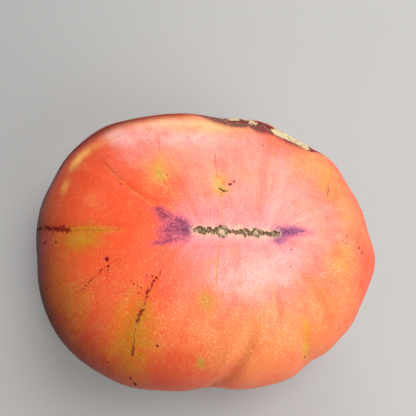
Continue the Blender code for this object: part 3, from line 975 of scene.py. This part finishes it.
def skin_material(finish):
    """Waxy skin: its colours one over the other, then its gloss and its pores."""
    r = SkinRecipe(finish)
    # Salmon skin over the ripe red, partly painted sheen
    r.lay_patch("blush")
    r.lay(r.ease(r.from_scar, 13.0, 2.0), "pink", 0.75)
    # Golden and scarlet skin, and the pale patches of painted highlight and sheen
    for name in ("gold", "pale", "scarlet"):
        r.lay_patch(name)
    olive = r.lay_patch("olive")
    r.lay_patch("green")
    r.lay(r.attribute("thread"), "thread", 0.95)
    lay_grain(r)
    lay_rays(r)
    # Painted shade low on the left, kept lighter over the olive patches
    dusk = r.attribute("dusk")
    r.lay(r.times(dusk, r.math("SUBTRACT", 0.96, r.times(olive, 0.40))), "dusk")
    # Painted highlights on the golden streaks and along the back, laid over the painted shade
    r.lay_patch("glow")
    r.lay(r.ease(r.ragged_from_scar, 5.5, 0.5), "halo", 0.45)
    bloom = lay_bloom(r)
    r.lay(r.ease(r.ragged_from_scar, 1.9, 1.0), "scar_edge", 0.55)
    lay_shoulders_and_shade(r)
    margin = lay_margin_and_shade(r)
    marks = lay_marks(r)

    belt = r.attribute("belt")
    dulling = ((belt, 0.45), (marks, 0.38), (dusk, 0.43), (bloom, 0.25), (margin, 0.40), (olive, 0.34))
    dull = r.most(*(r.times(share, amount) for share, amount in dulling))
    roughness = r.plus(r.plus(WAX_ROUGHNESS, r.times(r.grain["mottle"], 0.14)), r.times(marks, 0.25))
    r.shade(Base_Color=r.colour, Roughness=roughness, Normal=pores(r, marks))
    r.shade(Specular_IOR_Level=r.math("SUBTRACT", WAX_GLOSS, dull))
    r.shade(Subsurface_Weight=FLESH_SHARE, Subsurface_Radius=FLESH_RADIUS, Subsurface_Scale=FLESH_DEPTH)
    return r.material


def cork_material(name, dark, pale, scale):
    """Dry cork: dark in its hollows and pale on its rims, with crumbs and fissures."""
    r = Recipe(name)
    crumbs = r.noise(scale, 5.0, 0.7)
    tone = r.plus(r.attribute("paleness"), r.swing(crumbs, 1.7))
    colour = r.mix(r.ease(tone, 0.1, 0.9), tuple(dark), tuple(pale))
    fissures = r.times(r.ease(crumbs, 0.45, 0.30), 0.5)
    colour = r.mix(fissures, colour, tuple(part * FISSURE_SHADE for part in dark))
    r.shade(Base_Color=colour, Roughness=r.plus(0.62, r.times(crumbs, 0.25)))
    r.shade(Normal=r.bump(crumbs, 0.8, 0.0003), Specular_IOR_Level=0.3)
    return r.material


def add_object(name, data):
    """Puts an object in the scene."""
    made = bpy.data.objects.new(name, data)
    bpy.context.scene.collection.objects.link(made)
    return made


def add_piece(mesh, material):
    """Puts a piece in the scene with its material, hangs it on the root body and hides the imported tomato.
    """
    mesh.materials.append(material)
    piece = add_object(mesh.name, mesh)
    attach(piece, "root")
    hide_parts("tomato")


class TOMATO_OT_skin(Operator):
    """Builds the skin, with its ribs, its dip, its splits and all its colours"""

    bl_idname = "tomato.skin"
    bl_label = "Skin"

    def execute(self, context):
        shape = context.scene.tomato_shape
        turns = np.linspace(-math.pi, math.pi, COLUMNS + 1)[:-1]
        turn, drop = np.meshgrid(turns, ring_drops())
        points = Fit(shape).place(skin_points(shape, turn, drop))

        # At each scar a ring closes to a line, where the two sides share their points
        number = np.arange(turn.size).reshape(turn.shape)
        columns = np.arange(COLUMNS)
        partner = (COLUMNS - columns) % COLUMNS
        for end in (0, RINGS):
            number[end] = end * COLUMNS + np.minimum(columns, partner)
        faces = []
        for above, under in zip(number[:-1].tolist(), number[1:].tolist()):
            for column in range(COLUMNS):
                after = (column + 1) % COLUMNS
                corners = (above[column], under[column], under[after], above[after])
                faces.append(list(dict.fromkeys(corners)))
        mesh = smooth_mesh("tomato_skin", points, faces)
        skin_marks(mesh, shape, turn, drop, points)
        drop_loose_points(mesh)
        add_piece(mesh, skin_material(context.scene.tomato_finish))
        return {"FINISHED"}


def drop_loose_points(mesh):
    """Removes the points at the scars that no face uses."""
    bm = bmesh.new()
    bm.from_mesh(mesh)
    bmesh.ops.delete(bm, geom=[vert for vert in bm.verts if not vert.link_faces], context="VERTS")
    bm.to_mesh(mesh)
    bm.free()


def skin_tree():
    """The skin, ready for finding the place on it under or over a point."""
    mesh = bpy.data.objects["tomato_skin"].data
    verts = np.empty(len(mesh.vertices) * 3)
    mesh.vertices.foreach_get("co", verts)
    return BVHTree.FromPolygons(
        [Vector(co) for co in verts.reshape(-1, 3)], [tuple(face.vertices) for face in mesh.polygons]
    )


def patch_mesh(name, centre, slope, size, down, relief):
    """A patch of cork laid on the skin from above, or from below where down is -1.

    relief(along, aside) in mm gives the cork's height above the skin and its paleness.
    """
    tree = skin_tree()
    half_length, half_width, spacing = size
    alongs = np.arange(-half_length, half_length + spacing, spacing)
    asides = np.arange(-half_width, half_width + spacing, spacing)
    points = np.zeros((len(asides), len(alongs), 3))
    paleness = np.zeros(points.shape[:2])
    for row, column in np.ndindex(paleness.shape):
        along = alongs[column]
        aside = asides[row]
        x = centre[0] + (along * math.cos(slope) - aside * math.sin(slope)) * MM
        y = centre[1] + (along * math.sin(slope) + aside * math.cos(slope)) * MM
        spot, normal, _, _ = tree.ray_cast(Vector((x, y, RAY_START * down)), Vector((0.0, 0.0, -down)))
        height, paleness[row, column] = relief(along, aside)
        points[row, column] = spot + normal * height * MM
    faces = grid_faces(*paleness.shape, FACING_UP if down > 0 else FACING_DOWN)
    mesh = smooth_mesh(name, np.clip(points, CAD_LOW, CAD_HIGH), faces)
    set_attribute(mesh, "paleness", paleness)
    return mesh


def crumbs_at(x, y, *sizes):
    """Smooth noise at a place, once for each (times finer, height in the noise)."""
    return [noise.noise(Vector((x * finer, y * finer, level))) for finer, level in sizes]


def disc_share(away, sharpness):
    """1 inside a disc, where away is less than 1, and 0 outside."""
    return 1.0 / (1.0 + math.exp((away - 1.0) * sharpness))


def scar_relief(along, aside):
    """Rings of cork in a chain, each with a raised rim and a hollow."""
    crumb, fine = crumbs_at(along, aside, (2.2, 1.7), (6.0, 8.3))
    height = CHAIN_BED
    pale = CHAIN_BED_PALENESS
    for place, beside, radius, paleness in SCAR_RINGS:
        away = math.hypot(along - place, aside - beside) / radius + 0.34 * crumb + 0.16 * fine
        rim = bell((away - 0.80) / 0.22)
        ring = CHAIN_BED + disc_share(away, 14.0) * 0.55 + rim * 0.45 - 0.25 * bell(away / 0.4)
        if ring > height:
            height = ring
            pale = paleness * bell(away / 0.55) + 1.1 * max(away - 0.9, 0.0) / 0.25 + 0.2 * rim
    return height + 0.16 * fine, min(pale, 1.0) + 0.45 * crumb + 0.25 * fine


class TOMATO_OT_blossom_scar(Operator):
    """Builds the chain of cork rings along the blossom scar"""

    bl_idname = "tomato.blossom_scar"
    bl_label = "Blossom scar"

    def execute(self, context):
        finish = context.scene.tomato_finish
        mesh = patch_mesh("blossom_scar", CHAIN_CENTRE, SCAR_SLOPE, CHAIN_SIZE, 1, scar_relief)
        material = cork_material("blossom_cork", finish.cork, finish.cork_pale, CHAIN_CRUMBS)
        add_piece(mesh, material)
        return {"FINISHED"}


def stem_relief(along, aside):
    """A disc of cork with a pit in its middle."""
    crumb, fine = crumbs_at(along, aside, (0.9, 4.2), (3.5, 2.3))
    away = math.hypot(max(abs(along) - 3.6, 0.0), aside) / 5.4 + 0.16 * crumb + 0.05 * fine
    disc = disc_share(away, 16.0)
    rim = bell((away - 0.85) / 0.16)
    pit = bell(away / 0.38)
    tone = 0.55 * rim + 0.25 * disc - 0.3 * pit + 0.5 * crumb + 0.3 * fine
    return -0.4 + 1.1 * disc + 0.6 * rim - 1.0 * pit + 0.25 * fine + 0.2 * crumb, tone


class TOMATO_OT_stem_scar(Operator):
    """Builds the disc of cork where the stem broke away"""

    bl_idname = "tomato.stem_scar"
    bl_label = "Stem scar"

    def execute(self, context):
        finish = context.scene.tomato_finish
        mesh = patch_mesh("stem_scar", STEM_CORK_CENTRE, 0.0, STEM_CORK_SIZE, -1, stem_relief)
        material = cork_material("stem_cork", finish.cork, finish.split_cork, STEM_CRUMBS)
        add_piece(mesh, material)
        return {"FINISHED"}


def pale_strips(turn, drop):
    """1 in the strips of pale cork, which narrow to their ends, and 0 outside."""
    pale = np.zeros_like(turn)
    for first_turn, first_drop, last_turn, last_drop, width in SPLIT_STRIPS:
        share = (np.degrees(turn) - first_turn) / (last_turn - first_turn)
        room = width * np.sqrt(np.clip(4.0 * share * (1.0 - share), 0.0, 1.0)) / 2.0
        aside = np.degrees(drop) - first_drop - (last_drop - first_drop) * share
        pale = np.maximum(pale, smooth_step((room - np.abs(aside) + 0.1) / 0.5) * (room > 0.0))
    return pale


class TOMATO_OT_split_cork(Operator):
    """Builds the cork that fills the healed splits"""

    bl_idname = "tomato.split_cork"
    bl_label = "Split cork"

    def execute(self, context):
        shape = context.scene.tomato_shape
        finish = context.scene.tomato_finish
        turns = np.radians(np.linspace(*SPLIT_TURNS))
        drops = SPLIT_DROP + np.radians(np.linspace(*SPLIT_DROPS))
        turn, drop = np.meshgrid(turns, drops)
        crumb = np.zeros_like(turn)
        fine = np.zeros_like(turn)
        for index in np.ndindex(turn.shape):
            around = math.degrees(turn[index])
            down = math.degrees(drop[index])
            crumb[index] = noise.noise(Vector((around * 0.30, down * 0.55, 3.1)))
            fine[index] = noise.noise(Vector((around * 1.6, down * 2.6, 6.4)))
        ragged = drop + np.radians(1.8 * crumb + 1.2 * fine)
        pale = pale_strips(turn, ragged)
        inside = np.maximum(lens(turn, ragged, SPLIT_BEDS, *BED_FADES), pale)
        height = (-0.4 + 0.5 * inside + 0.12 * pale + 0.2 * fine) * MM
        points = skin_points(shape, turn, drop) + outward(shape, turn, drop) * height[..., None]
        mesh = smooth_mesh("split_cork", Fit(shape).place(points), grid_faces(*turn.shape, FACING_OUT))
        set_attribute(mesh, "paleness", 0.85 * pale + 0.9 * fine + 0.4 * crumb + 0.05)
        material = cork_material("split_cork", finish.split_bed, finish.split_cork, SPLIT_CRUMBS)
        add_piece(mesh, material)
        return {"FINISHED"}


def add_lights(stage):
    """Soft round lights that point at the fruit."""
    for name, (place, height, width, colour) in LIGHTS.items():
        light = bpy.data.lights.new(name, "AREA")
        light.shape = "DISK"
        light.size = width
        light.energy = getattr(stage, f"{name}_power")
        light.color = colour
        holder = add_object(name, light)
        holder.location = place
        aim = Vector((0.0, 0.0, height)) - Vector(place)
        holder.rotation_euler = aim.to_track_quat("-Z", "Y").to_euler()


def add_floor(stage):
    """A plain pale floor with a faint grain."""
    r = Recipe("floor")
    grain = r.times(r.noise(30.0, 4.0), 0.06)
    r.shade(Base_Color=r.mix(grain, tuple(stage.floor), tuple(stage.floor_grain)), Roughness=0.85)
    bm = bmesh.new()
    bmesh.ops.create_grid(bm, x_segments=2, y_segments=2, size=FLOOR_SIZE)
    mesh = bpy.data.meshes.new("floor")
    bm.to_mesh(mesh)
    bm.free()
    mesh.materials.append(r.material)
    floor = add_object("floor", mesh)


def add_sky(stage):
    """Even light from all sides."""
    world = bpy.data.worlds.new("studio")
    world.use_nodes = True
    background = world.node_tree.nodes["Background"]
    background.inputs["Color"].default_value = (*stage.sky, 1.0)
    background.inputs["Strength"].default_value = stage.sky_strength
    bpy.context.scene.world = world


def add_camera(shape):
    """The camera of the photograph."""
    camera = bpy.data.cameras.new("camera")
    camera.lens = LENS
    camera.sensor_width = SENSOR
    camera.clip_start = CLIP_START
    holder = add_object("camera", camera)
    x, y, above = CAMERA_PLACE
    holder.location = (x, y, above + Fit(shape).widest_height())
    holder.rotation_euler = (CAMERA_TILT, 0.0, 0.0)
    bpy.context.scene.camera = holder


class TOMATO_OT_stage(Operator):
    """Adds the floor, the soft lights and the camera of the photograph"""

    bl_idname = "tomato.stage"
    bl_label = "Stage"

    def execute(self, context):
        scene = context.scene
        add_floor(scene.tomato_stage)
        add_lights(scene.tomato_stage)
        add_sky(scene.tomato_stage)
        add_camera(scene.tomato_shape)
        scene.view_settings.view_transform = "Standard"
        return {"FINISHED"}


class TOMATO_PT_panel(Panel):
    """Lists the tomato's sizes, colours and pieces"""

    bl_idname = "TOMATO_PT_panel"
    bl_label = "Tomato"
    bl_space_type = "VIEW_3D"
    bl_region_type = "UI"
    bl_category = "Tomato"

    def draw(self, context):
        layout = self.layout
        for group in (context.scene.tomato_shape, context.scene.tomato_finish, context.scene.tomato_stage):
            box = layout.box()
            for name in group.bl_rna.properties.keys():
                if name not in ("rna_type", "name"):
                    box.prop(group, name)
        for operator in STEPS:
            layout.operator(operator.bl_idname)


GROUPS = {"tomato_shape": TomatoShape, "tomato_finish": TomatoFinish, "tomato_stage": TomatoStage}
STEPS = (TOMATO_OT_skin, TOMATO_OT_blossom_scar, TOMATO_OT_stem_scar, TOMATO_OT_split_cork, TOMATO_OT_stage)


def register():
    for cls in (*GROUPS.values(), *STEPS, TOMATO_PT_panel):
        bpy.utils.register_class(cls)
    for name, group in GROUPS.items():
        setattr(bpy.types.Scene, name, PointerProperty(type=group))


def unregister():
    for name in GROUPS:
        delattr(bpy.types.Scene, name)
    for cls in reversed((*GROUPS.values(), *STEPS, TOMATO_PT_panel)):
        bpy.utils.unregister_class(cls)


def main():
    register()
    bpy.ops.tomato.skin()
    bpy.ops.tomato.blossom_scar()
    bpy.ops.tomato.stem_scar()
    bpy.ops.tomato.split_cork()
    bpy.ops.tomato.stage()


if __name__ == "__main__":
    main()
